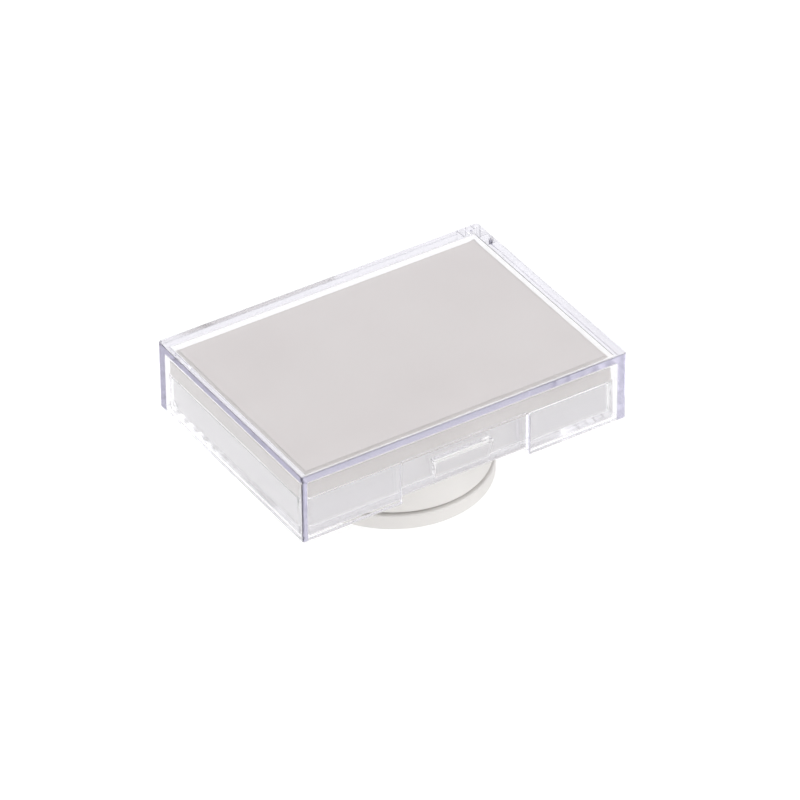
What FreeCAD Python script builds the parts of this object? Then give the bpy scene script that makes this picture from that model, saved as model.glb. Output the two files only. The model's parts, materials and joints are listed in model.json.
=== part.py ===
import FreeCAD, Part
import os
import re
import Sketcher

# A small hand-held wet palette: a clear hinged box that holds a wet sponge and a
# sheet of palette paper, carried on a round swivel foot.
# Row frame, millimetres: +Z up, +X along the box's long side, -Y towards the thumb
# tab. The origin is on the table, under the middle of the foot.

SIZES = {
    # clear lid, a full-height shell over the tray
    "lid_length": 76.0,
    "lid_width": 54.4,
    "lid_height": 15.8,
    "lid_wall": 1.65,
    "lid_top": 2.4,
    "lid_corner": 1.0,
    "lid_inner_corner": 0.3,
    "lid_edge_round": 0.3,
    "notch_width": 30.0,
    "notch_height": 9.9,
    # clear tray, the lower half of the box
    "side_gap": 0.3,
    "front_gap": 0.45,
    "rear_gap": 0.3,
    "tray_height": 8.8,
    "tray_wall": 0.8,
    "tray_floor": 1.5,
    "tray_draft": 0.35,
    "tray_corner": 0.8,
    "rim_round": 0.2,
    # hinge nubs on the lid, in dimples in the tray's ends
    "hinge_radius": 2.2,
    "nub_radius": 1.1,
    "nub_grip": 0.5,
    "nub_clearance": 0.05,
    "dimple_depth": 0.6,
    # wedge-shaped thumb tab on the tray's front
    "tab_top_width": 14.0,
    "tab_low_width": 12.6,
    "tab_top": 6.5,
    "tab_low": 0.4,
    "tab_proud": 1.85,
    "tab_toe": 0.05,
    "tab_root": 0.6,
    "tab_round": 0.25,
    # sponge and palette paper
    "sponge_clearance": 0.1,
    "sponge_height": 11.1,
    "sponge_corner": 0.8,
    "paper_thickness": 0.1,
    "paper_inset": 0.15,
    # swivel foot
    "foot_height": 14.4,
    "tape_radius": 17.5,
    "tape_thickness": 0.8,
    "drum_radius": 20.3,
    "drum_wall": 1.6,
    "drum_roof": 1.6,
    "drum_round": 0.7,
    "groove_height": 0.35,
    "boss_radius": 4.5,
    "boss_bottom": 5.7,
    "journal_radius": 3.0,
    "journal_bottom": 3.9,
    "screw_hole_top": 11.0,
    "track_inner": 13.0,
    "track_outer": 15.0,
    "rib_width": 1.0,
    "rib_bottom": 8.0,
    "rib_count": 6,
    "base_radius": 20.7,
    "base_bottom": 0.2,
    "base_top": 3.5,
    "base_edge_round": 0.25,
    "plate_bottom": 0.8,
    "plate_top": 2.2,
    "collar_inner": 16.4,
    "collar_outer": 18.3,
    "collar_top": 5.5,
    "hub_radius": 6.5,
    "hub_pocket_radius": 5.0,
    "hub_pocket_top": 4.0,
    "running_clearance": 0.06,
    "slip_ring_inner": 12.6,
    "slip_ring_outer": 15.4,
    "slip_ring_thickness": 0.6,
    "slip_clearance": 0.05,
    "washer_radius": 4.5,
    "washer_hole": 1.3,
    "washer_thickness": 0.5,
    "screw_radius": 1.2,
    "screw_length": 7.0,
    "head_radius": 2.4,
    "head_height": 1.3,
    "head_round": 0.5,
    "slot_length": 2.6,
    "slot_width": 0.6,
    "slot_depth": 0.7,
    "grip_radius": 18.4,
}

os.makedirs("parts", exist_ok=True)
doc = FreeCAD.newDocument("wet_palette")
sheet = doc.addObject("Spreadsheet::Sheet", "Sizes")
for row, (alias, size) in enumerate(SIZES.items(), start=1):
    sheet.set("A%d" % row, alias)
    sheet.set("B%d" % row, str(size))
    sheet.setAlias("B%d" % row, alias)
doc.recompute()


def cells(text):
    """Turn plain size names in a formula into references to the sheet's cells."""
    return re.sub(r"[a-z_]+", lambda word: "Sizes." + word.group(), text)


def number(text):
    """Work a formula of size names out to a number."""
    return float(sheet.evalExpression(cells(text)))


def new_body(label, height="0"):
    """Start a sub-part whose own zero height stands at the given height."""
    body = doc.addObject("PartDesign::Body", label)
    body.Label = label
    body.setExpression("Placement.Base.z", cells(height))
    return body


def new_sketch(body, name, plane, offset="0"):
    """Lay an empty sketch on one of the body's own origin planes, moved out by offset."""
    support = [item for item in body.Origin.OriginFeatures if item.Role == plane][0]
    sketch = body.newObject("Sketcher::SketchObject", name)
    sketch.AttachmentSupport = [(support, "")]
    sketch.MapMode = "FlatFace"
    sketch.setExpression("AttachmentOffset.Base.z", cells(offset))
    return sketch


def place_point(sketch, line, end, across, up):
    """Tie one end of a line to formulas for its two coordinates."""
    for kind, axis, text in (("DistanceX", -2, across), ("DistanceY", -1, up)):
        value = number(text)
        if abs(value) < 1e-9:
            sketch.addConstraint(Sketcher.Constraint("PointOnObject", line, end, axis))
            continue
        index = sketch.addConstraint(Sketcher.Constraint(kind, -1, 1, line, end, value))
        sketch.setExpression("Constraints[%d]" % index, cells(text))


def draw_outline(sketch, corners):
    """Draw a closed outline through corners given as pairs of formulas."""
    places = [FreeCAD.Vector(number(across), number(up), 0) for across, up in corners]
    for index, start in enumerate(places):
        end = places[(index + 1) % len(places)]
        sketch.addGeometry(Part.LineSegment(start, end), False)
    for index, (across, up) in enumerate(corners):
        following = (index + 1) % len(corners)
        sketch.addConstraint(Sketcher.Constraint("Coincident", index, 2, following, 1))
        place_point(sketch, index, 1, across, up)


def draw_box(sketch, low_across, high_across, low_up, high_up):
    """Draw a rectangle between two pairs of formulas."""
    draw_outline(sketch, [
        (low_across, low_up),
        (high_across, low_up),
        (high_across, high_up),
        (low_across, high_up),
    ])


def draw_circle(sketch, radius, across="0", up="0"):
    """Draw a circle of the given radius about a point."""
    centre = FreeCAD.Vector(number(across), number(up), 0)
    normal = FreeCAD.Vector(0, 0, 1)
    circle = sketch.addGeometry(Part.Circle(centre, normal, number(radius)), False)
    place_point(sketch, circle, 3, across, up)
    index = sketch.addConstraint(Sketcher.Constraint("Radius", circle, number(radius)))
    sketch.setExpression("Constraints[%d]" % index, cells(radius))


def pad(body, sketch, length, reverse=False, centred=False):
    """Raise a sketch into a solid."""
    feature = body.newObject("PartDesign::Pad", sketch.Name + "_pad")
    feature.Profile = sketch
    feature.setExpression("Length", cells(length))
    feature.Reversed = reverse
    feature.Midplane = centred
    doc.recompute()
    return feature


def pocket(body, sketch, depth, reverse=False):
    """Cut a sketch out of the body, and make sure that it took material away."""
    before = body.Shape.Volume
    feature = body.newObject("PartDesign::Pocket", sketch.Name + "_pocket")
    feature.Profile = sketch
    feature.setExpression("Length", cells(depth))
    feature.Reversed = reverse
    doc.recompute()
    if body.Shape.Volume > before - 1e-3:
        raise RuntimeError(feature.Name + " cuts nothing")
    return feature


def revolve(body, sketch):
    """Turn a sketch once round the body's upright axis."""
    feature = body.newObject("PartDesign::Revolution", sketch.Name + "_turned")
    feature.Profile = sketch
    feature.ReferenceAxis = (sketch, ["V_Axis"])
    feature.Angle = 360.0
    doc.recompute()
    return feature


def soften_edges(body, name, radius, wanted):
    """Round the edges of the body's latest shape that a test accepts."""
    base = body.Tip
    picked = ["Edge%d" % (index + 1) for index, edge in enumerate(base.Shape.Edges) if wanted(edge)]
    feature = body.newObject("PartDesign::Fillet", name)
    feature.Base = (base, picked)
    feature.setExpression("Radius", cells(radius))
    doc.recompute()
    if not picked or "Invalid" in feature.State:
        raise RuntimeError("%s fails on %d edges" % (name, len(picked)))
    return feature


def mirror_in_x(body, feature, name):
    """Repeat a feature on the other end of the box."""
    plane = [item for item in body.Origin.OriginFeatures if item.Role == "YZ_Plane"][0]
    mirrored = body.newObject("PartDesign::Mirrored", name)
    mirrored.Originals = [feature]
    mirrored.MirrorPlane = (plane, [""])
    body.Tip = mirrored
    doc.recompute()
    return mirrored


def is_upright(edge):
    """Tell whether an edge runs up the part, with or without a little draft."""
    box = edge.BoundBox
    return box.ZLength > 5 and box.XLength < 1 and box.YLength < 1


def is_level_at(edge, height):
    """Tell whether an edge lies flat at the given height."""
    box = edge.BoundBox
    return box.ZLength < 1e-4 and abs(box.ZMin - height) < 1e-4


def is_circle_at(edge, radius, height):
    """Tell whether an edge is a level circle of the given radius and height."""
    box = edge.BoundBox
    return is_level_at(edge, height) and abs(box.XMax - radius) < 1e-4


# Shared places, in the box's own heights: zero is the underside of the tray.
HINGE_ACROSS = "lid_width / 2 - lid_wall - rear_gap - hinge_radius"
TRAY_HALF_LENGTH = "lid_length / 2 - lid_wall - side_gap"
TRAY_FRONT = "-(lid_width / 2 - lid_wall - front_gap)"
TRAY_FRONT_TOP = "-(lid_width / 2 - lid_wall - front_gap - tray_draft)"
TRAY_BACK = "lid_width / 2 - lid_wall - rear_gap"
CAVITY_HALF_LENGTH = "lid_length / 2 - lid_wall - side_gap - tray_wall"
CAVITY_FRONT = "-(lid_width / 2 - lid_wall - front_gap - tray_draft - tray_wall)"
CAVITY_BACK = "lid_width / 2 - lid_wall - rear_gap - tray_wall"


def build_lid():
    """Clear moulded lid: five walls, a thumb notch in front and a hinge nub in each end."""
    body = new_body("lid", "foot_height")
    block = new_sketch(body, "lid_block", "XY_Plane")
    draw_box(block, "-lid_length / 2", "lid_length / 2", "-lid_width / 2", "lid_width / 2")
    pad(body, block, "lid_height")
    soften_edges(body, "lid_corners", "lid_corner", is_upright)
    top = number("lid_height")
    soften_edges(body, "lid_top_edge", "lid_edge_round", lambda edge: is_level_at(edge, top))

    hollow = new_sketch(body, "lid_hollow", "XY_Plane")
    draw_box(hollow, "-(lid_length / 2 - lid_wall)", "lid_length / 2 - lid_wall",
             "-(lid_width / 2 - lid_wall)", "lid_width / 2 - lid_wall")
    pocket(body, hollow, "lid_height - lid_top", reverse=True)
    inside = number("lid_width / 2 - lid_wall")
    soften_edges(body, "lid_inner_corners", "lid_inner_corner",
          lambda edge: is_upright(edge) and abs(abs(edge.BoundBox.YMax) - inside) < 1e-3)

    notch = new_sketch(body, "thumb_notch", "XZ_Plane")
    draw_box(notch, "-notch_width / 2", "notch_width / 2", "-lid_wall", "notch_height")
    pocket(body, notch, "lid_width", reverse=True)

    nub = new_sketch(body, "hinge_nub", "YZ_Plane", "lid_length / 2 - lid_wall / 2")
    draw_circle(nub, "nub_radius", HINGE_ACROSS, "hinge_radius")
    nub_pad = pad(body, nub, "lid_wall / 2 + side_gap + nub_grip", reverse=True)
    mirror_in_x(body, nub_pad, "second_nub")
    return body


def build_tray():
    """Clear moulded tray: drafted front, rounded hinge edge, thumb tab, hinge dimples."""
    body = new_body("tray", "foot_height")
    profile = new_sketch(body, "tray_profile", "YZ_Plane")
    draw_outline(profile, [
        (TRAY_FRONT, "0"),
        (TRAY_BACK, "0"),
        (TRAY_BACK, "tray_height"),
        (TRAY_FRONT_TOP, "tray_height"),
    ])
    pad(body, profile, "2 * (" + TRAY_HALF_LENGTH + ")", centred=True)
    back = number(TRAY_BACK)
    soften_edges(body, "hinge_edge", "hinge_radius",
          lambda edge: is_level_at(edge, 0) and abs(edge.BoundBox.YMin - back) < 1e-4)
    soften_edges(body, "tray_corners", "tray_corner", is_upright)
    rim = number("tray_height")
    soften_edges(body, "tray_rim", "rim_round", lambda edge: is_level_at(edge, rim))

    hollow = new_sketch(body, "tray_hollow", "XY_Plane", "tray_floor")
    draw_box(hollow, "-(" + CAVITY_HALF_LENGTH + ")", CAVITY_HALF_LENGTH, CAVITY_FRONT, CAVITY_BACK)
    pocket(body, hollow, "tray_height", reverse=True)

    low = new_sketch(body, "tab_low_section", "XY_Plane", "tab_low")
    draw_box(low, "-tab_low_width / 2", "tab_low_width / 2",
             TRAY_FRONT + " - tab_toe", TRAY_FRONT + " + tab_root")
    high = new_sketch(body, "tab_top_section", "XY_Plane", "tab_top")
    draw_box(high, "-tab_top_width / 2", "tab_top_width / 2",
             TRAY_FRONT + " - tab_proud + tray_draft / 2", TRAY_FRONT + " + tab_root")
    doc.recompute()
    tab = body.newObject("PartDesign::AdditiveLoft", "thumb_tab")
    tab.Profile = low
    tab.Sections = [(high, [""])]
    tab.Ruled = True
    doc.recompute()
    tab_edge = number("tab_top")
    tab_front = number(TRAY_FRONT + " - tab_proud + tray_draft / 2")
    soften_edges(body, "tab_edge", "tab_round",
          lambda edge: is_level_at(edge, tab_edge) and abs(edge.BoundBox.YMax - tab_front) < 1e-3)

    dimple = new_sketch(body, "hinge_dimple", "YZ_Plane", TRAY_HALF_LENGTH)
    draw_circle(dimple, "nub_radius + nub_clearance", HINGE_ACROSS, "hinge_radius")
    cut = pocket(body, dimple, "dimple_depth")
    mirror_in_x(body, cut, "second_dimple")
    return body


def build_sponge():
    """Cut sponge that fills the tray and stands above its rim."""
    body = new_body("sponge", "foot_height + tray_floor")
    outline = new_sketch(body, "sponge_outline", "XY_Plane")
    draw_box(outline, "-(" + CAVITY_HALF_LENGTH + " - sponge_clearance)",
             CAVITY_HALF_LENGTH + " - sponge_clearance",
             CAVITY_FRONT + " + sponge_clearance", CAVITY_BACK + " - sponge_clearance")
    pad(body, outline, "sponge_height")
    soften_edges(body, "sponge_corners", "sponge_corner", is_upright)
    return body


def build_palette_paper():
    """Sheet of palette paper on top of the sponge."""
    body = new_body("palette_paper", "foot_height + tray_floor + sponge_height")
    outline = new_sketch(body, "paper_outline", "XY_Plane")
    draw_box(outline, "-(" + CAVITY_HALF_LENGTH + " - sponge_clearance - paper_inset)",
             CAVITY_HALF_LENGTH + " - sponge_clearance - paper_inset",
             CAVITY_FRONT + " + sponge_clearance + paper_inset",
             CAVITY_BACK + " - sponge_clearance - paper_inset")
    pad(body, outline, "paper_thickness")
    return body


def build_disc(label, height, radius, thickness, hole=None):
    """Flat disc or ring about the foot's axis."""
    body = new_body(label, height)
    outline = new_sketch(body, label + "_outline", "XY_Plane")
    draw_circle(outline, radius)
    if hole:
        draw_circle(outline, hole)
    pad(body, outline, thickness)
    return body


def build_foot_drum():
    """Upper half of the swivel foot: a hollow drum with a pivot boss and bearing track."""
    body = new_body("foot_drum")
    section = new_sketch(body, "drum_section", "XZ_Plane")
    roof = "foot_height - tape_thickness"
    ceiling = roof + " - drum_roof"
    skirt = "base_top + groove_height"
    track = "plate_top + slip_ring_thickness + slip_clearance"
    draw_outline(section, [
        ("screw_radius", "journal_bottom"),
        ("journal_radius", "journal_bottom"),
        ("journal_radius", "boss_bottom"),
        ("boss_radius", "boss_bottom"),
        ("boss_radius", ceiling),
        ("track_inner", ceiling),
        ("track_inner", track),
        ("track_outer", track),
        ("track_outer", ceiling),
        ("drum_radius - drum_wall", ceiling),
        ("drum_radius - drum_wall", skirt),
        ("drum_radius", skirt),
        ("drum_radius", roof),
        ("0", roof),
        ("0", "screw_hole_top"),
        ("screw_radius", "screw_hole_top"),
    ])
    revolve(body, section)
    rim_radius = number("drum_radius")
    skirt_height = number(skirt)
    soften_edges(body, "drum_lower_edge", "drum_round",
          lambda edge: is_circle_at(edge, rim_radius, skirt_height))

    rib = new_sketch(body, "drum_rib", "XY_Plane", "rib_bottom")
    draw_box(rib, "(journal_radius + boss_radius) / 2", "(track_inner + track_outer) / 2",
             "-rib_width / 2", "rib_width / 2")
    rib_pad = pad(body, rib, ceiling + " + drum_roof / 2 - rib_bottom")
    pattern = body.newObject("PartDesign::PolarPattern", "drum_ribs")
    pattern.Originals = [rib_pad]
    pattern.Axis = (rib, ["N_Axis"])
    pattern.Angle = 360.0
    pattern.setExpression("Occurrences", cells("rib_count"))
    body.Tip = pattern
    doc.recompute()
    return body


def build_foot_base():
    """Lower half of the swivel foot: base disc with a hub, a dust collar and a grip recess."""
    body = new_body("foot_base")
    section = new_sketch(body, "base_section", "XZ_Plane")
    bore = "journal_radius + running_clearance"
    draw_outline(section, [
        (bore, "hub_pocket_top"),
        (bore, "collar_top"),
        ("hub_radius", "collar_top"),
        ("hub_radius", "plate_top"),
        ("collar_inner", "plate_top"),
        ("collar_inner", "collar_top"),
        ("collar_outer", "collar_top"),
        ("collar_outer", "base_top"),
        ("base_radius", "base_top"),
        ("base_radius", "base_bottom"),
        ("grip_radius + base_bottom", "base_bottom"),
        ("grip_radius + base_bottom", "plate_bottom"),
        ("hub_pocket_radius", "plate_bottom"),
        ("hub_pocket_radius", "hub_pocket_top"),
    ])
    revolve(body, section)
    radius = number("base_radius")
    heights = (number("base_top"), number("base_bottom"))
    soften_edges(body, "base_edges", "base_edge_round",
          lambda edge: any(is_circle_at(edge, radius, height) for height in heights))
    return body


def build_pivot_screw():
    """Pan-head screw, driven from below into the drum's boss."""
    body = new_body("pivot_screw", "journal_bottom - washer_thickness")
    section = new_sketch(body, "screw_section", "XZ_Plane")
    draw_outline(section, [
        ("0", "-head_height"),
        ("head_radius", "-head_height"),
        ("head_radius", "0"),
        ("screw_radius", "0"),
        ("screw_radius", "screw_length - screw_radius"),
        ("screw_radius / 2", "screw_length"),
        ("0", "screw_length"),
    ])
    revolve(body, section)
    radius = number("head_radius")
    underside = -number("head_height")
    soften_edges(body, "head_edge", "head_round",
          lambda edge: is_circle_at(edge, radius, underside))
    for name, half_across, half_up in (
        ("slot_one", "slot_length / 2", "slot_width / 2"),
        ("slot_two", "slot_width / 2", "slot_length / 2"),
    ):
        slot = new_sketch(body, name, "XY_Plane", "-head_height")
        draw_box(slot, "-" + half_across, half_across, "-" + half_up, half_up)
        pocket(body, slot, "slot_depth", reverse=True)
    return body


bodies = [
    build_lid(),
    build_tray(),
    build_sponge(),
    build_palette_paper(),
    build_disc("adhesive_pad", "foot_height - tape_thickness", "tape_radius", "tape_thickness"),
    build_foot_drum(),
    build_pivot_screw(),
    build_disc("retaining_washer", "journal_bottom - washer_thickness",
               "washer_radius", "washer_thickness", hole="washer_hole"),
    build_disc("slip_ring", "plate_top", "slip_ring_outer", "slip_ring_thickness",
               hole="slip_ring_inner"),
    build_foot_base(),
    build_disc("grip_pad", "0", "grip_radius", "plate_bottom"),
]

doc.recompute()
for item in doc.Objects:
    if "Invalid" in item.State or "Error" in item.State:
        raise RuntimeError(item.Label + " did not build: " + str(item.State))
for body in bodies:
    shape = body.Shape
    if shape.isNull() or not shape.isValid() or len(shape.Solids) != 1:
        raise RuntimeError(body.Label + " is not one valid solid")
    shape.exportStep("parts/" + body.Label + ".step")
    box = shape.BoundBox
    print("%-17s %8.1f mm3  x %6.2f %6.2f  y %6.2f %6.2f  z %6.2f %6.2f" % (
        body.Label, shape.Volume, box.XMin, box.XMax, box.YMin, box.YMax, box.ZMin, box.ZMax))
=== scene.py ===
import json
import math
import bmesh
import bpy
from mathutils import Matrix, Vector, noise


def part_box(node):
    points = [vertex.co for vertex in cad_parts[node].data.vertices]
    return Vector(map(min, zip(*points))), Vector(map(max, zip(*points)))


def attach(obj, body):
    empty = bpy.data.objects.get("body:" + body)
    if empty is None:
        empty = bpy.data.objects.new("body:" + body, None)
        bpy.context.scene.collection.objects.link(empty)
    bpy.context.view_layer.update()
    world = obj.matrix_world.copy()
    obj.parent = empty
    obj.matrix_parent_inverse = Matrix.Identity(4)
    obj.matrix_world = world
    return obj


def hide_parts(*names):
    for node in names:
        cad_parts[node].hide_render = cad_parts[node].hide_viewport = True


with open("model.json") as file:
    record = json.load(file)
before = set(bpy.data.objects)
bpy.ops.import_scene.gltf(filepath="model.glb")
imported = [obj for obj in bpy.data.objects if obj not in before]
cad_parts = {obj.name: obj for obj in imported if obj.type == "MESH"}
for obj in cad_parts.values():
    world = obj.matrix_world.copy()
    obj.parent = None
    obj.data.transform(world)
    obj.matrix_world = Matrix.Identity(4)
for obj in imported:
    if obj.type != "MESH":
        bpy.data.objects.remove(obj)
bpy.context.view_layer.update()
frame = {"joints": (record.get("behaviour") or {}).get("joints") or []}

MM = 0.001


# ---- Camera -------------------------------------------------------------------------
# A long lens looks down at the thumb-tab side from the left of the box. It aims just
# off the middle of the box's underside and is rolled by half a degree.
lens_azimuth = math.radians(-32.29)
lens_elevation = math.radians(36.21)
lens_roll = math.radians(0.475)
lens_distance = 1284.3 * MM
lens_aim_right = 1.5 * MM
lens_aim_up = 2.15 * MM

away = Vector((
    math.sin(lens_azimuth) * math.cos(lens_elevation),
    -math.cos(lens_azimuth) * math.cos(lens_elevation),
    math.sin(lens_elevation),
))
across = Vector((math.cos(lens_azimuth), math.sin(lens_azimuth), 0))
upward = away.cross(across)
box_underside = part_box("tray")[0].z
aim = Vector((0, 0, box_underside)) + across * lens_aim_right + upward * lens_aim_up

camera_data = bpy.data.cameras.new("studio_camera")
camera_data.lens = 288.6
camera_data.sensor_width = 36
camera_data.clip_start = 0.05
camera_data.clip_end = 50
camera = bpy.data.objects.new("studio_camera", camera_data)
camera_right = across * math.cos(lens_roll) - upward * math.sin(lens_roll)
camera_up = across * math.sin(lens_roll) + upward * math.cos(lens_roll)
turn = Matrix((camera_right, camera_up, away)).transposed().to_4x4()
camera.matrix_world = Matrix.Translation(aim + away * lens_distance) @ turn
bpy.context.scene.collection.objects.link(camera)
bpy.context.scene.camera = camera


# ---- Studio -------------------------------------------------------------------------
# A white light table in a white tent: the floor glows a little, so the foot throws only
# a trace of shadow, and two large soft lamps shape the round foot and the clear walls.
def new_material(name):
    """Start a node material and hand back its tree and its main shader."""
    material = bpy.data.materials.new(name)
    material.use_nodes = True
    shader = material.node_tree.nodes["Principled BSDF"]
    return material, material.node_tree, shader


def link_object(name, mesh, material):
    """Put a mesh into the scene with its material."""
    piece = bpy.data.objects.new(name, mesh)
    bpy.context.scene.collection.objects.link(piece)
    piece.data.materials.append(material)
    return piece


def soft_lamp(name, place, size, watts):
    """Hang a square soft lamp that faces the box."""
    data = bpy.data.lights.new(name, "AREA")
    data.shape = "SQUARE"
    data.size = size
    data.energy = watts
    lamp = bpy.data.objects.new(name, data)
    lamp.location = place
    facing = Vector((0, 0, box_underside)) - Vector(place)
    lamp.rotation_euler = facing.to_track_quat("-Z", "Y").to_euler()
    bpy.context.scene.collection.objects.link(lamp)
    return lamp


floor_half = 4.0
floor_drop = 0.02 * MM
floor_corners = ((-1, -1), (1, -1), (1, 1), (-1, 1))
floor_mesh = bpy.data.meshes.new("floor")
floor_mesh.from_pydata(
    [(side_x * floor_half, side_y * floor_half, -floor_drop) for side_x, side_y in floor_corners],
    [], [(0, 1, 2, 3)])
floor_material, floor_tree, floor_shader = new_material("light_table")
floor_shader.inputs["Base Color"].default_value = (0.30, 0.30, 0.30, 1)
floor_shader.inputs["Roughness"].default_value = 1.0
floor_shader.inputs["Specular IOR Level"].default_value = 0.0
floor_shader.inputs["Emission Color"].default_value = (1, 1, 1, 1)
floor_shader.inputs["Emission Strength"].default_value = 0.78
floor = link_object("floor", floor_mesh, floor_material)

world = bpy.data.worlds.new("white_tent")
world.use_nodes = True
world.node_tree.nodes["Background"].inputs["Color"].default_value = (1, 1, 1, 1)
world.node_tree.nodes["Background"].inputs["Strength"].default_value = 1.0
bpy.context.scene.world = world
bpy.context.scene.view_settings.view_transform = "Standard"

# light bounces many times inside a clear wall before it leaves by an edge
wall_bounces = 48
light_paths = bpy.context.scene.cycles
light_paths.max_bounces = wall_bounces
light_paths.glossy_bounces = wall_bounces
light_paths.transmission_bounces = wall_bounces
light_paths.blur_glossy = 0

soft_lamp("right_lamp", (0.9, -0.5, 0.7), 0.6, 3.0)
soft_lamp("back_lamp", (-0.2, 0.9, 0.9), 0.7, 2.0)


# ---- Foot base ----------------------------------------------------------------------
# The lower half of the swivel foot, a moulded white disc with a hub for the pivot and a
# dust collar that stands up inside the drum. It is one turned shape with broken edges.
def soften(corners, steps=5):
    """Round the corners of an outline given as (across, up, radius)."""
    places = [Vector((corner[0], corner[1])) for corner in corners]
    outline = []
    for index, corner in enumerate(corners):
        here = places[index]
        if corner[2] <= 0:
            outline.append(here)
            continue
        before = (places[index - 1] - here).normalized()
        after = (places[(index + 1) % len(places)] - here).normalized()
        half = before.angle(after) / 2
        cut = corner[2] / math.tan(half)
        centre = here + (before + after).normalized() * corner[2] / math.sin(half)
        first = here + before * cut - centre
        last = here + after * cut - centre
        for step in range(steps + 1):
            share = step / steps
            spoke = (first * (1 - share) + last * share).normalized() * corner[2]
            outline.append(centre + spoke)
    return outline


def turned(name, outline, around=180):
    """Turn an outline of (radius, height) once round the foot's axis."""
    shape = bmesh.new()
    rings = []
    for point in outline:
        if point[0] < 1e-7:
            rings.append([shape.verts.new((0, 0, point[1]))])
            continue
        rings.append([
            shape.verts.new((
                point[0] * math.cos(math.tau * spoke / around),
                point[0] * math.sin(math.tau * spoke / around),
                point[1]))
            for spoke in range(around)])
    for index, ring in enumerate(rings):
        following = rings[(index + 1) % len(rings)]
        if len(ring) == 1 and len(following) == 1:
            continue
        for spoke in range(around):
            corner = [ring[spoke % len(ring)], ring[(spoke + 1) % len(ring)],
                      following[(spoke + 1) % len(following)], following[spoke % len(following)]]
            shape.faces.new(list(dict.fromkeys(corner)))
    bmesh.ops.recalc_face_normals(shape, faces=shape.faces)
    mesh = bpy.data.meshes.new(name)
    shape.to_mesh(mesh)
    shape.free()
    smooth(mesh)
    return mesh


def smooth(mesh, angle=35):
    """Shade a mesh smooth, with sharp edges above an angle in degrees."""
    mesh.polygons.foreach_set("use_smooth", [True] * len(mesh.polygons))
    mesh.set_sharp_from_angle(angle=math.radians(angle))


def in_metres(corners):
    """Turn an outline in millimetres into metres."""
    return [tuple(value * MM for value in corner) for corner in corners]


def grain(tree, shader, scale, strength, depth):
    """Give a surface a fine grain of the given size through its normals."""
    coordinates = tree.nodes.new("ShaderNodeTexCoord")
    speckle = tree.nodes.new("ShaderNodeTexNoise")
    speckle.inputs["Scale"].default_value = scale
    speckle.inputs["Detail"].default_value = 4
    bump = tree.nodes.new("ShaderNodeBump")
    bump.inputs["Strength"].default_value = strength
    bump.inputs["Distance"].default_value = depth
    tree.links.new(coordinates.outputs["Object"], speckle.inputs["Vector"])
    tree.links.new(speckle.outputs["Fac"], bump.inputs["Height"])
    tree.links.new(bump.outputs["Normal"], shader.inputs["Normal"])
    return coordinates


def cloudy_colour(tree, shader, coordinates, scale, dark, light):
    """Let a colour drift slowly between two close tones over a surface."""
    drift = tree.nodes.new("ShaderNodeTexNoise")
    drift.inputs["Scale"].default_value = scale
    drift.inputs["Detail"].default_value = 3
    ramp = tree.nodes.new("ShaderNodeValToRGB")
    ramp.color_ramp.elements[0].position = 0.3
    ramp.color_ramp.elements[1].position = 0.7
    ramp.color_ramp.elements[0].color = (*dark, 1)
    ramp.color_ramp.elements[1].color = (*light, 1)
    tree.links.new(coordinates.outputs["Object"], drift.inputs["Vector"])
    tree.links.new(drift.outputs["Fac"], ramp.inputs["Fac"])
    tree.links.new(ramp.outputs["Color"], shader.inputs["Base Color"])


def rough_patches(tree, shader, coordinates, scale, low, high):
    """Let the polish vary slowly over a surface."""
    patches = tree.nodes.new("ShaderNodeTexNoise")
    patches.inputs["Scale"].default_value = scale
    patches.inputs["Detail"].default_value = 5
    spread = tree.nodes.new("ShaderNodeMapRange")
    spread.inputs["From Min"].default_value = 0.3
    spread.inputs["From Max"].default_value = 0.7
    spread.inputs["To Min"].default_value = low
    spread.inputs["To Max"].default_value = high
    tree.links.new(coordinates.outputs["Object"], patches.inputs["Vector"])
    tree.links.new(patches.outputs["Fac"], spread.inputs["Value"])
    tree.links.new(spread.outputs["Result"], shader.inputs["Roughness"])


white_plastic, white_tree, white_shader = new_material("white_plastic")
white_coordinates = grain(white_tree, white_shader, 2600, 0.25, 0.02 * MM)
cloudy_colour(white_tree, white_shader, white_coordinates, 60,
              (0.745, 0.725, 0.705), (0.775, 0.755, 0.735))
rough_patches(white_tree, white_shader, white_coordinates, 240, 0.38, 0.5)
white_shader.inputs["IOR"].default_value = 1.5

# each corner of a turned section: radius, height and how far it is rounded, in millimetres
base_section = in_metres(soften([
    (3.06, 4.0, 0.1),
    (3.06, 5.5, 0.15),
    (6.5, 5.5, 0.3),
    (6.5, 2.2, 0.4),
    (16.4, 2.2, 0.4),
    (16.4, 5.5, 0.2),
    (18.3, 5.5, 0.3),
    (18.3, 3.5, 0.3),
    (20.7, 3.5, 0.35),
    (20.7, 0.2, 0.35),
    (18.6, 0.2, 0.15),
    (18.6, 0.8, 0),
    (5.0, 0.8, 0.1),
    (5.0, 4.0, 0.2),
]))
foot_base = link_object("foot_base_moulding", turned("foot_base_moulding", base_section), white_plastic)
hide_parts("foot_base")
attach(foot_base, "base")


# ---- Grip pad -----------------------------------------------------------------------
# A soft grey disc stuck into the recess under the base. It covers the screw and stands
# a little proud, and its underside is moulded with fine rings for grip.
grip_rubber, grip_tree, grip_shader = new_material("grip_rubber")
grip_coordinates = grain(grip_tree, grip_shader, 3500, 0.5, 0.03 * MM)
cloudy_colour(grip_tree, grip_shader, grip_coordinates, 90,
              (0.40, 0.40, 0.39), (0.47, 0.47, 0.46))
grip_shader.inputs["Roughness"].default_value = 0.85

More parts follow.
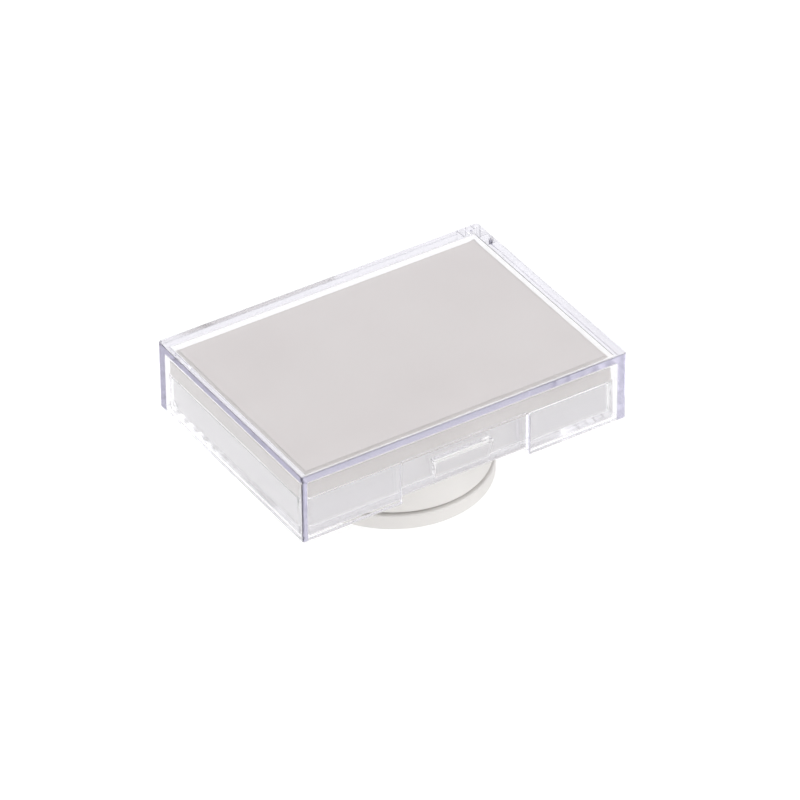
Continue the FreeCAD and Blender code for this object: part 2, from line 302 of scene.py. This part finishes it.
grip_low, grip_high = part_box("grip_pad")
grip_rim = grip_high.x
grip_ring_pitch = 1.6 * MM
grip_ring_depth = 0.12 * MM
grip_outline = [Vector((0, grip_high.z)), Vector((grip_rim - 0.1 * MM, grip_high.z)),
                Vector((grip_rim, grip_high.z - 0.1 * MM)), Vector((grip_rim, 0.15 * MM)),
                Vector((grip_rim - 0.15 * MM, 0))]
ring_edge = grip_rim - 1.0 * MM
while ring_edge > 2 * grip_ring_pitch:
    grip_outline += [Vector((ring_edge, 0)),
                     Vector((ring_edge - 0.1 * MM, grip_ring_depth)),
                     Vector((ring_edge - grip_ring_pitch / 2 + 0.1 * MM, grip_ring_depth)),
                     Vector((ring_edge - grip_ring_pitch / 2, 0))]
    ring_edge -= grip_ring_pitch
grip_outline.append(Vector((0, 0)))
grip_pad = link_object("grip_pad_rings", turned("grip_pad_rings", grip_outline), grip_rubber)
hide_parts("grip_pad")
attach(grip_pad, "base")


# ---- Slip ring ----------------------------------------------------------------------
# A flat ring of waxy low-friction plastic, laid on the base's plate. The drum's track
# slides on it.
slip_plastic, slip_tree, slip_shader = new_material("slip_plastic")
slip_coordinates = grain(slip_tree, slip_shader, 1800, 0.2, 0.01 * MM)
cloudy_colour(slip_tree, slip_shader, slip_coordinates, 120,
              (0.80, 0.79, 0.72), (0.86, 0.85, 0.79))
slip_shader.inputs["Roughness"].default_value = 0.42
slip_low, slip_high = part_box("slip_ring")
slip_inner = 12.6 * MM
slip_section = soften([
    (slip_inner, slip_low.z, 0.08 * MM), (slip_high.x, slip_low.z, 0.08 * MM),
    (slip_high.x, slip_high.z, 0.15 * MM), (slip_inner, slip_high.z, 0.15 * MM)])
slip_ring = link_object("slip_ring_disc", turned("slip_ring_disc", slip_section), slip_plastic)
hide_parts("slip_ring")
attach(slip_ring, "base")


# ---- Foot drum ----------------------------------------------------------------------
# The upper half of the swivel foot, moulded in the same white plastic: a cup, open
# below, with the pivot boss, a bearing track and six ribs inside. The rounded lower
# edge and the gap over the base read as a dark groove all round.
drum_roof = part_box("foot_drum")[1].z / MM
drum_section = in_metres(soften([
    (1.2, 3.9, 0.05),
    (3.0, 3.9, 0.2),
    (3.0, 5.7, 0.1),
    (4.5, 5.7, 0.3),
    (4.5, 12.0, 0.5),
    (13.0, 12.0, 0.5),
    (13.0, 2.85, 0.2),
    (15.0, 2.85, 0.2),
    (15.0, 12.0, 0.5),
    (18.7, 12.0, 0.5),
    (18.7, 3.85, 0.2),
    (20.3, 3.85, 0.75),
    (20.3, drum_roof, 0.4),
    (0, drum_roof, 0),
    (0, 11.0, 0),
    (1.2, 11.0, 0),
], steps=6))
foot_drum = link_object("foot_drum_moulding", turned("foot_drum_moulding", drum_section), white_plastic)
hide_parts("foot_drum")
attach(foot_drum, "tray")

rib_length, rib_width, rib_height = 9.0 * MM, 1.0 * MM, 4.1 * MM
rib_middle = 8.75 * MM
rib_level = 10.05 * MM
rib_count = 6
rib_shape = bmesh.new()
for spoke in range(rib_count):
    rib = bmesh.ops.create_cube(rib_shape, size=1)
    stretch = Matrix.Diagonal((rib_length, rib_width, rib_height, 1))
    place = Matrix.Translation((rib_middle, 0, rib_level))
    spin = Matrix.Rotation(math.tau * spoke / rib_count, 4, "Z")
    bmesh.ops.transform(rib_shape, matrix=spin @ place @ stretch, verts=rib["verts"])
bmesh.ops.bevel(rib_shape, geom=rib_shape.edges[:], offset=0.12 * MM, segments=2, affect="EDGES")
rib_mesh = bpy.data.meshes.new("drum_ribs")
rib_shape.to_mesh(rib_mesh)
rib_shape.free()
smooth(rib_mesh)
drum_ribs = link_object("drum_ribs", rib_mesh, white_plastic)
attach(drum_ribs, "tray")


# ---- Pivot screw and washer ---------------------------------------------------------
# A zinc-plated pan-head screw, driven from below into the drum's boss. Its washer
# holds the base's hub up with a little play, so that the foot can turn.
zinc, zinc_tree, zinc_shader = new_material("zinc_plated_steel")
zinc_coordinates = grain(zinc_tree, zinc_shader, 2200, 0.15, 0.01 * MM)
cloudy_colour(zinc_tree, zinc_shader, zinc_coordinates, 400,
              (0.55, 0.55, 0.57), (0.68, 0.68, 0.69))
rough_patches(zinc_tree, zinc_shader, zinc_coordinates, 700, 0.24, 0.42)
zinc_shader.inputs["Metallic"].default_value = 1.0

washer_low, washer_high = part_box("retaining_washer")
washer_hole = 1.3 * MM
washer_section = soften([
    (washer_hole, washer_low.z, 0.06 * MM), (washer_high.x, washer_low.z, 0.14 * MM),
    (washer_high.x, washer_high.z, 0.06 * MM), (washer_hole, washer_high.z, 0.06 * MM)])
washer = link_object("retaining_washer_disc", turned("retaining_washer_disc", washer_section, 96), zinc)
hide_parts("retaining_washer")
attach(washer, "tray")

screw_low, screw_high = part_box("pivot_screw")
head_top = screw_low.z + 1.3 * MM
head_rim = screw_high.x
head_dome = 0.7 * MM
thread_crest = 1.2 * MM
thread_root = 0.95 * MM
thread_pitch = 0.8 * MM
thread_flank = 0.15 * MM
thread_start = head_top + 0.5 * MM
thread_end = screw_high.z - 1.6 * MM
tip_start = screw_high.z - 1.2 * MM
screw_outline = [Vector((0, screw_low.z))]
dome_steps = 8
for step in range(dome_steps + 1):
    swing = math.pi / 2 * step / dome_steps
    screw_outline.append(Vector((
        head_rim - head_dome * (1 - math.sin(swing)),
        screw_low.z + head_dome * (1 - math.cos(swing)))))
screw_outline += [Vector((head_rim, head_top)), Vector((thread_root, head_top))]
thread_height = thread_start
while thread_height < thread_end:
    screw_outline += [
        Vector((thread_root, thread_height)),
        Vector((thread_crest, thread_height + thread_flank)),
        Vector((thread_root, thread_height + 2 * thread_flank))]
    thread_height += thread_pitch
screw_outline += [Vector((thread_root, tip_start)), Vector((0, screw_high.z))]
screw_mesh = turned("pivot_screw_body", screw_outline, 64)
pivot_screw = link_object("pivot_screw_body", screw_mesh, zinc)


def cut_away(piece, tools):
    """Cut solid tools out of a piece, and leave only the finished mesh."""
    for tool in tools:
        cut = piece.modifiers.new("cut", "BOOLEAN")
        cut.operation = "DIFFERENCE"
        cut.solver = "EXACT"
        cut.object = tool
    settle(piece)
    for tool in tools:
        bpy.data.objects.remove(tool)


def settle(piece):
    """Turn a piece's modifiers into plain mesh."""
    bpy.context.view_layer.update()
    evaluated = piece.evaluated_get(bpy.context.evaluated_depsgraph_get())
    finished = bpy.data.meshes.new_from_object(evaluated)
    piece.modifiers.clear()
    piece.data = finished
    smooth(piece.data)


def block(name, low, high):
    """Make a plain block to cut or join with."""
    shape = bmesh.new()
    made = bmesh.ops.create_cube(shape, size=1)
    size = Vector(high) - Vector(low)
    middle = (Vector(high) + Vector(low)) / 2
    bmesh.ops.transform(shape, matrix=Matrix.Translation(middle) @ Matrix.Diagonal((*size, 1)),
                        verts=made["verts"])
    mesh = bpy.data.meshes.new(name)
    shape.to_mesh(mesh)
    shape.free()
    piece = bpy.data.objects.new(name, mesh)
    bpy.context.scene.collection.objects.link(piece)
    return piece


slot_half, slot_side = 1.3 * MM, 0.3 * MM
slot_open = screw_low.z - 1.0 * MM
slot_end = screw_low.z + 0.7 * MM
cut_away(pivot_screw, [
    block(name, (-reach_x, -reach_y, slot_open), (reach_x, reach_y, slot_end))
    for name, reach_x, reach_y in (
        ("slot_one", slot_half, slot_side), ("slot_two", slot_side, slot_half))])
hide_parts("pivot_screw")
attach(pivot_screw, "tray")


# ---- Adhesive pad -------------------------------------------------------------------
# A disc of white foam tape between the drum's roof and the tray's underside, pinched in
# a little between its two sticky faces. Under the clear tray it keeps a hair of air, as
# a pitted foam does, so that light can still run inside the tray's floor.
foam_tape, tape_tree, tape_shader = new_material("foam_tape")
tape_coordinates = grain(tape_tree, tape_shader, 5200, 0.6, 0.04 * MM)
cloudy_colour(tape_tree, tape_shader, tape_coordinates, 150,
              (0.78, 0.78, 0.76), (0.84, 0.84, 0.82))
tape_shader.inputs["Roughness"].default_value = 0.9
tape_low, tape_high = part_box("adhesive_pad")
tape_air = 0.02 * MM
tape_high.z -= tape_air
tape_waist = 0.12 * MM
tape_outline = [Vector((0, tape_low.z))]
tape_steps = 8
for step in range(tape_steps + 1):
    share = step / tape_steps
    tape_outline.append(Vector((
        tape_high.x - tape_waist * math.sin(math.pi * share),
        tape_low.z + (tape_high.z - tape_low.z) * share)))
tape_outline.append(Vector((0, tape_high.z)))
adhesive_pad = link_object("adhesive_pad_foam", turned("adhesive_pad_foam", tape_outline), foam_tape)
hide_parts("adhesive_pad")
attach(adhesive_pad, "tray")


# ---- Tray ---------------------------------------------------------------------------
# The lower half of the box, injection moulded in clear polystyrene. Its front wall has
# draft and carries a wedge-shaped thumb tab; its rear lower edge is rounded about the
# hinge line, and each end has a shallow dimple for a hinge nub.
clear_tray, tray_tree, tray_shader = new_material("clear_tray")


def make_clear(tree, shader, lost_colour):
    """Clear polystyrene, polished, and tinted where it is looked at lengthwise."""
    shader.inputs["Base Color"].default_value = (1, 1, 1, 1)
    shader.inputs["Transmission Weight"].default_value = 1.0
    shader.inputs["IOR"].default_value = 1.59
    rough_patches(tree, shader, tree.nodes.new("ShaderNodeTexCoord"), 300, 0.035, 0.06)
    tint = tree.nodes.new("ShaderNodeVolumeAbsorption")
    tint.inputs["Color"].default_value = (*lost_colour, 1)
    tint.inputs["Density"].default_value = 20.5
    tree.links.new(tint.outputs["Volume"], tree.nodes["Material Output"].inputs["Volume"])


make_clear(tray_tree, tray_shader, (0.96, 0.955, 0.975))


def ring(half_length, front, back, radius, height):
    """One level loop of a box with rounded corners, seen from above, anticlockwise."""
    corners = [
        (half_length - radius, front + radius, -90), (half_length - radius, back - radius, 0),
        (-half_length + radius, back - radius, 90), (-half_length + radius, front + radius, 180)]
    loop = []
    corner_steps = 6
    for middle_x, middle_y, start in corners:
        for step in range(corner_steps + 1):
            swing = math.radians(start + 90 * step / corner_steps)
            loop.append(Vector((
                middle_x + radius * math.cos(swing), middle_y + radius * math.sin(swing), height)))
    return loop


def skin(name, loops):
    """Join level loops into one closed shell, with a flat cap at each end."""
    shape = bmesh.new()
    rows = [[shape.verts.new(point) for point in loop] for loop in loops]
    count = len(rows[0])
    for row, following in zip(rows, rows[1:]):
        for index in range(count):
            after = (index + 1) % count
            shape.faces.new((row[index], row[after], following[after], following[index]))
    shape.faces.new(rows[0])
    shape.faces.new(rows[-1])
    bmesh.ops.recalc_face_normals(shape, faces=shape.faces)
    mesh = bpy.data.meshes.new(name)
    shape.to_mesh(mesh)
    shape.free()
    smooth(mesh)
    return mesh


def arc(steps, start=0, end=90):
    """Angles of an arc, in radians."""
    return [math.radians(start + (end - start) * step / steps) for step in range(steps + 1)]


tray_low, tray_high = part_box("tray")
hinge = next(joint for joint in frame["joints"] if joint["name"] == "lid_hinge")
hinge_y, hinge_z = hinge["pos_m"][1], hinge["pos_m"][2]
tray_half = tray_high.x
tray_base = tray_low.z
tray_rim = tray_high.z
tray_back = tray_high.y
hinge_round = tray_back - hinge_y
tray_front = -25.1 * MM
tray_draft = 0.35 * MM
tray_wall = 0.8 * MM
tray_floor = 1.5 * MM
tray_corner = 0.8 * MM
tray_cavity_corner = 0.4 * MM
sharpest_corner = 0.05 * MM
rim_round = 0.22 * MM
foot_round = 0.35 * MM
floor_round = 0.4 * MM
cavity_front = tray_front + tray_draft + tray_wall
cavity_back = tray_back - tray_wall
cavity_half = tray_half - tray_wall


def tray_inside(inset, height):
    """A loop of the tray's cavity."""
    return ring(cavity_half - inset, cavity_front + inset, cavity_back - inset,
                max(tray_cavity_corner - inset, sharpest_corner), height)


def tray_outside(height, inset=0.0):
    """A loop of the tray's outside: drafted in front, round about the hinge behind."""
    above = height - tray_base
    toe = max(foot_round - above, 0)
    toe = foot_round - math.sqrt(foot_round ** 2 - toe ** 2)
    heel = max(hinge_round - above, 0)
    heel = hinge_round - math.sqrt(max(hinge_round ** 2 - heel ** 2, 0))
    draft = tray_draft * above / (tray_rim - tray_base)
    return ring(tray_half - toe - inset, tray_front + draft + toe + inset,
                tray_back - heel - inset, tray_corner, height)


tray_loops = []
for swing in arc(4):
    tray_loops.append(tray_inside(floor_round * (1 - math.sin(swing)),
                                  tray_base + tray_floor + floor_round * (1 - math.cos(swing))))
for swing in arc(4):
    tray_loops.append(tray_inside(-rim_round * (1 - math.cos(swing)),
                                  tray_rim - rim_round * (1 - math.sin(swing))))
for swing in arc(4):
    tray_loops.append(tray_outside(tray_rim - rim_round * (1 - math.cos(swing)),
                                   rim_round * (1 - math.sin(swing))))
tray_loops.append(tray_outside(tray_base + hinge_round + 1 * MM))
for swing in arc(12):
    tray_loops.append(tray_outside(tray_base + hinge_round * (1 - math.sin(swing))))
tray_mesh = skin("tray_moulding", tray_loops)
tray = link_object("tray_moulding", tray_mesh, clear_tray)

tab_top = tray_base + 6.5 * MM
tab_low = tray_base + 0.4 * MM
tab_half_top = 7.0 * MM
tab_half_low = 6.3 * MM
tab_front = tray_low.y
tab_toe = tray_front - 0.05 * MM
tab_root = tray_front + 0.6 * MM
tab_edge = 0.2 * MM
tab_shape = bmesh.new()
tab_points = [
    (-tab_half_low, tab_toe, tab_low), (tab_half_low, tab_toe, tab_low),
    (tab_half_low, tab_root, tab_low), (-tab_half_low, tab_root, tab_low),
    (-tab_half_top, tab_front, tab_top), (tab_half_top, tab_front, tab_top),
    (tab_half_top, tab_root, tab_top), (-tab_half_top, tab_root, tab_top)]
tab_corners = [tab_shape.verts.new(point) for point in tab_points]
for face in ((0, 1, 2, 3), (4, 5, 6, 7), (0, 1, 5, 4), (1, 2, 6, 5), (2, 3, 7, 6), (3, 0, 4, 7)):
    tab_shape.faces.new([tab_corners[index] for index in face])
bmesh.ops.recalc_face_normals(tab_shape, faces=tab_shape.faces)
tab_edges = [edge for edge in tab_shape.edges
             if min(edge.verts[0].co.y, edge.verts[1].co.y) < tray_front - 0.04 * MM
             and max(edge.verts[0].co.z, edge.verts[1].co.z) > tab_low + MM]
bmesh.ops.bevel(tab_shape, geom=tab_edges, offset=tab_edge, segments=3, affect="EDGES")
tab_mesh = bpy.data.meshes.new("thumb_tab")
tab_shape.to_mesh(tab_mesh)
tab_shape.free()
tab = bpy.data.objects.new("thumb_tab", tab_mesh)
bpy.context.scene.collection.objects.link(tab)


def pin(name, start_x, end_x, radius, around=48):
    """A round pin along X on the hinge line, to cut or join with."""
    shape = bmesh.new()
    ends = []
    for x in (start_x, end_x):
        ends.append([shape.verts.new((
            x, hinge_y + radius * math.cos(math.tau * spoke / around),
            hinge_z + radius * math.sin(math.tau * spoke / around))) for spoke in range(around)])
    for spoke in range(around):
        after = (spoke + 1) % around
        shape.faces.new((ends[0][spoke], ends[0][after], ends[1][after], ends[1][spoke]))
    for end in ends:
        shape.faces.new(end)
    bmesh.ops.recalc_face_normals(shape, faces=shape.faces)
    mesh = bpy.data.meshes.new(name)
    shape.to_mesh(mesh)
    shape.free()
    piece = bpy.data.objects.new(name, mesh)
    bpy.context.scene.collection.objects.link(piece)
    return piece


def join_on(piece, additions):
    """Join solids onto a piece, and leave only the finished mesh."""
    for addition in additions:
        joined = piece.modifiers.new("join", "BOOLEAN")
        joined.operation = "UNION"
        joined.solver = "EXACT"
        joined.object = addition
    settle(piece)
    for addition in additions:
        bpy.data.objects.remove(addition)


def keep_flats(mesh, widest_round=0.45 * MM):
    """Shade a clear moulding's flat faces flat, so that light runs true between them."""
    for face in mesh.polygons:
        longest = max((mesh.vertices[first].co - mesh.vertices[second].co).length
                      for first, second in face.edge_keys)
        if face.area / longest > widest_round:
            face.use_smooth = False


join_on(tray, [tab])
dimple_radius = 1.15 * MM
dimple_end = tray_half - 0.6 * MM
dimple_open = tray_half + 1.0 * MM
cut_away(tray, [pin("dimple_" + name, side * dimple_end, side * dimple_open, dimple_radius)
                for name, side in (("left", -1), ("right", 1))])
keep_flats(tray.data)
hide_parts("tray")
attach(tray, "tray")


# ---- Sponge -------------------------------------------------------------------------
# A block of fine open-cell sponge, cut by hand a hair smaller than the tray's cavity.
# It is damp, so its cut edges are soft, and above the rim it swells out over the walls.
# Inside the tray, below the rim, its colour is painted paler and lavender: a painted reflection of the
# white surroundings in the clear walls.
wet_sponge, sponge_tree, sponge_shader = new_material("wet_sponge")
sponge_coordinates = grain(sponge_tree, sponge_shader, 3200, 0.5, 0.08 * MM)
cloudy_colour(sponge_tree, sponge_shader, sponge_coordinates, 45,
              (0.555, 0.527, 0.512), (0.603, 0.574, 0.565))
sponge_shader.inputs["Roughness"].default_value = 0.8
sponge_shader.inputs["Sheen Weight"].default_value = 0.1
# Painted reflection: below the tray's rim the sponge's colour is painted paler and lavender, standing
# in for the white surroundings reflected in the clear walls.
painted_reflection_colour = (0.65, 0.635, 0.65)
sponge_height = sponge_tree.nodes.new("ShaderNodeSeparateXYZ")
sponge_tree.links.new(sponge_coordinates.outputs["Object"], sponge_height.inputs["Vector"])
painted_reflection_mask = sponge_tree.nodes.new("ShaderNodeMapRange")
painted_reflection_mask.inputs["From Min"].default_value = tray_rim + 0.1 * MM
painted_reflection_mask.inputs["From Max"].default_value = tray_rim - 0.4 * MM
sponge_tree.links.new(sponge_height.outputs["Z"], painted_reflection_mask.inputs["Value"])
paler = sponge_tree.nodes.new("ShaderNodeMix")
paler.data_type = "RGBA"
paler.inputs["B"].default_value = (*painted_reflection_colour, 1)
cut_colour = sponge_shader.inputs["Base Color"].links[0].from_socket
sponge_tree.links.new(painted_reflection_mask.outputs["Result"], paler.inputs["Factor"])
sponge_tree.links.new(cut_colour, paler.inputs["A"])
sponge_tree.links.new(paler.outputs["Result"], sponge_shader.inputs["Base Color"])


def grid_block(name, low, high, cell, bend):
    """A block skinned with a fine square grid, each grid point moved by a function."""
    counts = [max(2, round((high[axis] - low[axis]) / cell)) for axis in range(3)]
    shape = bmesh.new()
    points = {}

    def point(key):
        if key not in points:
            place = Vector([low[axis] + (high[axis] - low[axis]) * key[axis] / counts[axis]
                            for axis in range(3)])
            points[key] = shape.verts.new(bend(place))
        return points[key]

    for axis in range(3):
        first, second = (axis + 1) % 3, (axis + 2) % 3
        for end in (0, counts[axis]):
            for a in range(counts[first]):
                for b in range(counts[second]):
                    keys = []
                    for step_a, step_b in ((0, 0), (1, 0), (1, 1), (0, 1)):
                        key = [0, 0, 0]
                        key[axis], key[first], key[second] = end, a + step_a, b + step_b
                        keys.append(tuple(key))
                    shape.faces.new([point(key) for key in keys])
    bmesh.ops.recalc_face_normals(shape, faces=shape.faces)
    mesh = bpy.data.meshes.new(name)
    shape.to_mesh(mesh)
    shape.free()
    smooth(mesh, 60)
    return mesh


sponge_low, sponge_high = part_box("sponge")
sponge_air = 0.03 * MM
sponge_low.z += sponge_air
sponge_corner = 0.9 * MM
sponge_edge = 0.5 * MM
sponge_waver = 0.22 * MM
sponge_over_rim = 0.75 * MM
sponge_over_front = 0.85 * MM
sponge_front_lean = 0.45 * MM
sponge_over_gap = 0.07 * MM
sponge_cell = 0.6 * MM
sponge_bumps = 0.03 * MM


def cut_by_hand(place):
    """Round the block's corners, let its cut faces waver, and swell it over the rim."""
    middle = (sponge_low + sponge_high) / 2
    half = (sponge_high - sponge_low) / 2
    offset = place - middle
    core = Vector((half.x - sponge_corner, half.y - sponge_corner))
    beyond = Vector((max(abs(offset.x) - core.x, 0), max(abs(offset.y) - core.y, 0)))
    if beyond.x > 0 and beyond.y > 0:
        reach = max(beyond.x, beyond.y)
        beyond = beyond.normalized() * reach
        offset.x = math.copysign(core.x + beyond.x, offset.x)
        offset.y = math.copysign(core.y + beyond.y, offset.y)
    near_side = max(abs(offset.x) / half.x, abs(offset.y) / half.y)
    from_side = min(half.x - abs(offset.x), half.y - abs(offset.y))
    if offset.z > 0 and from_side < sponge_edge:
        drop = sponge_edge - math.sqrt(max(sponge_edge ** 2 - (sponge_edge - from_side) ** 2, 0))
        offset.z -= drop * max(0, (offset.z - half.z + sponge_edge) / sponge_edge)
    above_rim = place.z - tray_rim
    bulge = max(0, min(1, above_rim / sponge_cell))
    bulge = bulge * bulge * (3 - 2 * bulge)
    if 0 < above_rim < 1.25 * sponge_cell:
        offset.z -= above_rim - sponge_over_gap
    over_y = sponge_over_rim
    if offset.y < 0:
        over_y = sponge_over_front - sponge_front_lean * above_rim / (sponge_high.z - tray_rim)
    offset.x *= 1 + bulge * sponge_over_rim / half.x
    offset.y *= 1 + bulge * over_y / half.y
    waver = noise.noise(Vector((place.x * 130, place.y * 130, place.z * 60 + 7)))
    waver += 0.5 * noise.noise(Vector((place.x * 420, place.y * 420, place.z * 200)))
    lift = max(0, min(1, (place.z - sponge_low.z) / (sponge_high.z - sponge_low.z)))
    pull = sponge_waver * lift * (0.5 + 0.5 * waver) * max(0, (near_side - 0.9) / 0.1)
    pull *= 1 - 0.7 * bulge
    offset.x -= math.copysign(min(pull, abs(offset.x)), offset.x)
    offset.y -= math.copysign(min(pull, abs(offset.y)), offset.y)
    pore = noise.noise(place * 2500) * sponge_bumps
    if 0 < lift < 1:
        offset.x -= math.copysign(abs(pore), offset.x)
        offset.y -= math.copysign(abs(pore), offset.y)
    return middle + offset


sponge = link_object("sponge_block", grid_block(
    "sponge_block", sponge_low, sponge_high, sponge_cell, cut_by_hand), wet_sponge)
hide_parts("sponge")
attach(sponge, "tray")


# ---- Palette paper ------------------------------------------------------------------
# A sheet of damp palette paper, laid flat on the sponge. It clings to it, with faint
# swells where it has stretched, and its edges follow the sponge's.
palette_paper, paper_tree, paper_shader = new_material("palette_paper")
paper_coordinates = grain(paper_tree, paper_shader, 1500, 0.06, 0.01 * MM)
cloudy_colour(paper_tree, paper_shader, paper_coordinates, 35,
              (0.597, 0.56, 0.55), (0.628, 0.595, 0.583))
rough_patches(paper_tree, paper_shader, paper_coordinates, 160, 0.42, 0.55)

paper_low, paper_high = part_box("palette_paper")
paper_swell = 0.08 * MM
paper_ragged = 0.12 * MM
paper_cell = 1.0 * MM


def damp_swell(place):
    """Let the sheet follow its slow swells, a little more towards its edges."""
    swell = noise.noise(Vector((place.x * 70, place.y * 70, 3)))
    edge = abs(place.x) / paper_high.x
    moved = place + Vector((0, 0, paper_swell * (0.5 + 0.5 * swell) * (0.6 + 0.4 * edge)))
    ragged = abs(noise.noise(Vector((place.x * 160, place.y * 160, 11))) * paper_ragged)
    if abs(place.x) > paper_high.x - paper_cell or abs(place.y) > paper_high.y - paper_cell:
        moved.x -= math.copysign(ragged, moved.x)
        moved.y -= math.copysign(ragged, moved.y)
    return moved


paper = link_object("palette_paper_sheet", grid_block(
    "palette_paper_sheet", paper_low, paper_high, paper_cell, damp_swell), palette_paper)
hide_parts("palette_paper")
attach(paper, "tray")


# ---- Lid ----------------------------------------------------------------------------
# A full-height clear lid, moulded thicker than the tray in plastic with a lavender tint.
# Its front wall has a wide thumb notch, and a nub inside each end clips into the
# tray's dimple, so that it swings up about the rear lower edge.
clear_lid, lid_tree, lid_shader = new_material("clear_lid")
make_clear(lid_tree, lid_shader, (0.525, 0.50, 0.66))

lid_low, lid_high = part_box("lid")
lid_half = lid_high.x
lid_wall = 1.65 * MM
lid_top = 2.4 * MM
lid_corner = 0.6 * MM
lid_inner_corner = 0.15 * MM
lid_edge = 0.18 * MM
ceiling_edge = 0.4 * MM
lip_edge = 0.15 * MM
notch_half = 15.0 * MM
notch_top = lid_low.z + 9.9 * MM
notch_corner = 0.5 * MM
stop_gap = 0.02 * MM

# each stop along the front wall: place along X, height of the wall's foot there, and
# which way the wall's rounded upright edge is set back
front_stops = [(-notch_half, lid_low.z, -1), (-notch_half + stop_gap, notch_top - notch_corner, -1)]
for swing in arc(4):
    front_stops.append((-notch_half + 2 * stop_gap + notch_corner * (1 - math.cos(swing)),
                        notch_top - notch_corner * (1 - math.sin(swing)), 0))
front_stops += [(-place, foot, -side) for place, foot, side in reversed(front_stops)]


def lid_loop(inset, share, lift, set_back):
    """One loop of the lid's skin: inset from its outside, part of the way down the wall."""
    radius = lid_corner - (lid_corner - lid_inner_corner) * inset / lid_wall
    radius = max(radius, 2 * sharpest_corner)
    loop = []

    def add(x, y, foot):
        loop.append(Vector((x, y, lid_high.z * (1 - share) + foot * share + lift)))

    def corner(middle_x, middle_y, start):
        for swing in arc(6, start, start + 90):
            add(middle_x + radius * math.cos(swing), middle_y + radius * math.sin(swing), lid_low.z)

    reach_x = lid_half - inset - radius
    reach_y = lid_high.y - inset - radius
    for x, foot, side in front_stops:
        add(x + side * set_back, lid_low.y + inset, foot)
    corner(reach_x, -reach_y, -90)
    corner(reach_x, reach_y, 0)
    corner(-reach_x, reach_y, 90)
    corner(-reach_x, -reach_y, 180)
    return loop


lid_loops = []
for swing in arc(4):
    lid_loops.append(lid_loop(lid_edge * (1 - math.sin(swing)), 0,
                              -lid_edge * (1 - math.cos(swing)), lip_edge))
for swing in arc(4):
    lid_loops.append(lid_loop(lip_edge * (1 - math.cos(swing)), 1, lip_edge * (1 - math.sin(swing)),
                              lip_edge * (1 - math.sin(swing))))
for swing in reversed(arc(4)):
    lid_loops.append(lid_loop(lid_wall - lip_edge * (1 - math.cos(swing)), 1,
                              lip_edge * (1 - math.sin(swing)), lip_edge * (1 - math.sin(swing))))
for swing in reversed(arc(4)):
    lid_loops.append(lid_loop(lid_wall + ceiling_edge * (1 - math.sin(swing)), 0,
                              -lid_top - ceiling_edge * (1 - math.cos(swing)), lip_edge))
lid = link_object("lid_moulding", skin("lid_moulding", lid_loops), clear_lid)

nub_radius = 1.1 * MM
nub_end = lid_half - lid_wall - 0.8 * MM
nub_root = lid_half - lid_wall / 2
join_on(lid, [pin("nub_" + name, side * nub_end, side * nub_root, nub_radius)
              for name, side in (("left", -1), ("right", 1))])
keep_flats(lid.data)
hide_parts("lid")
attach(lid, "lid")


# ---- Finish -------------------------------------------------------------------------
bpy.context.view_layer.update()
